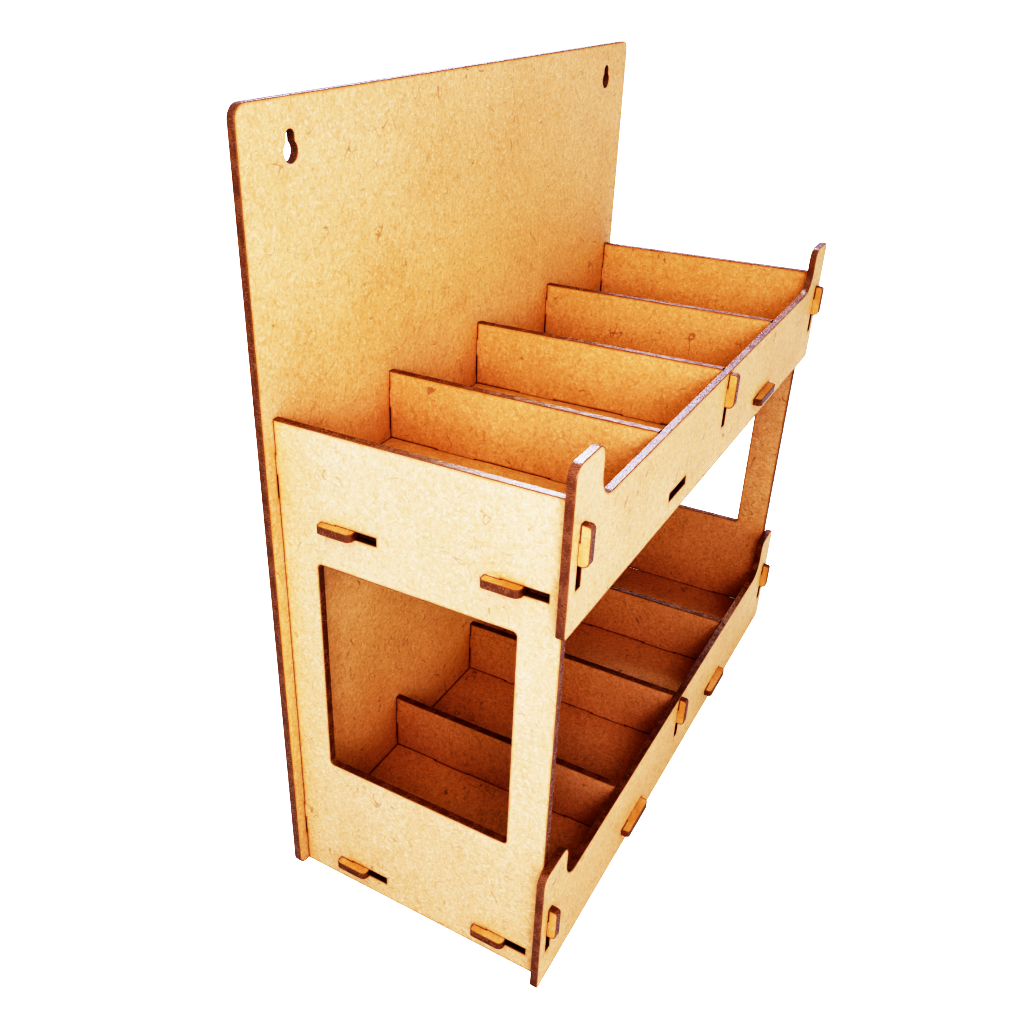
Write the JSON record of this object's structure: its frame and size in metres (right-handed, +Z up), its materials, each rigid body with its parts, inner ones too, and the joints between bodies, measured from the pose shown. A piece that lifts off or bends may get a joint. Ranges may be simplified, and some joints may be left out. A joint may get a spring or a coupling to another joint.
{
  "type": "paint rack organizer",
  "caption": "Two-tier paint rack of hook-and-slot board: tall back panel with keyholes, windowed sides, lipped trays split by dividers.",
  "frame": {"origin": "on the standing surface, below the centre of the bounding box", "axes": "+X to the right seen from the front, +Y towards the back panel, +Z up"},
  "size_m": [0.3, 0.1254, 0.312],
  "materials": {
    "board": "raw medium-density fibreboard, satin faces with charred cut edges"
  },
  "bodies": {
    "root": {"back_panel": "board", "left_side": "board", "right_side": "board", "upper_shelf": "board", "lower_shelf": "board", "upper_front": "board", "lower_front": "board", "upper_left_divider": "board", "upper_centre_divider": "board", "upper_right_divider": "board", "lower_left_divider": "board", "lower_centre_divider": "board", "lower_right_divider": "board"}
  },
  "joints": []
}
